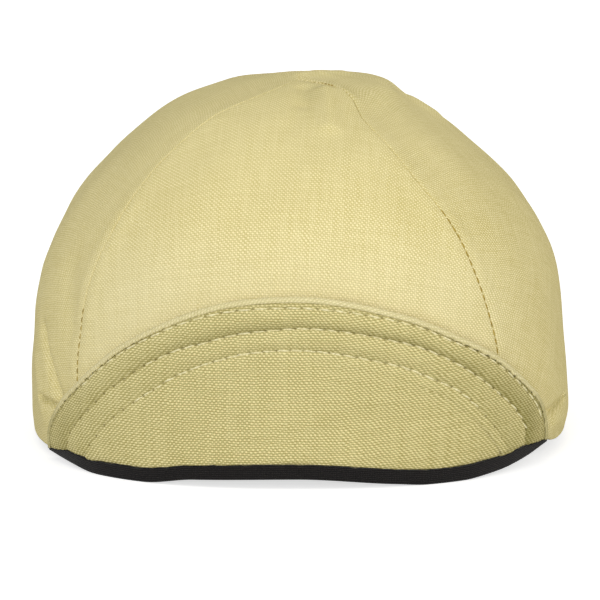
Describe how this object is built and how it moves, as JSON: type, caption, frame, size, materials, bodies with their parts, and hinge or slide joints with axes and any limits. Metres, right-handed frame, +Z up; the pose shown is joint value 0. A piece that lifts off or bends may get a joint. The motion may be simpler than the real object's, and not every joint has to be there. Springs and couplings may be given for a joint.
{
  "type": "four panel cap",
  "caption": "Soft cotton cap with a panelled crown, a short stitched peak turned up against the front and a black sweatband.",
  "frame": {"origin": "centre of the cap's box in X and Y, on the surface that it stands on", "axes": "+Z up, -Y out of the front where the peak is, +X to the viewer's right"},
  "size_m": [0.1736, 0.203, 0.1176],
  "materials": {
    "crown_cloth": "plain woven beige cotton, matt",
    "peak_cloth": "plain woven beige cotton with rows of cream stitching, matt",
    "band_cloth": "ribbed black cotton tape, matt"
  },
  "bodies": {
    "root": {"panel_front": "crown_cloth", "panel_right": "crown_cloth", "panel_back": "crown_cloth", "panel_left": "crown_cloth", "peak_upper": "peak_cloth", "peak_under": "peak_cloth", "sweatband": "band_cloth"}
  },
  "joints": []
}
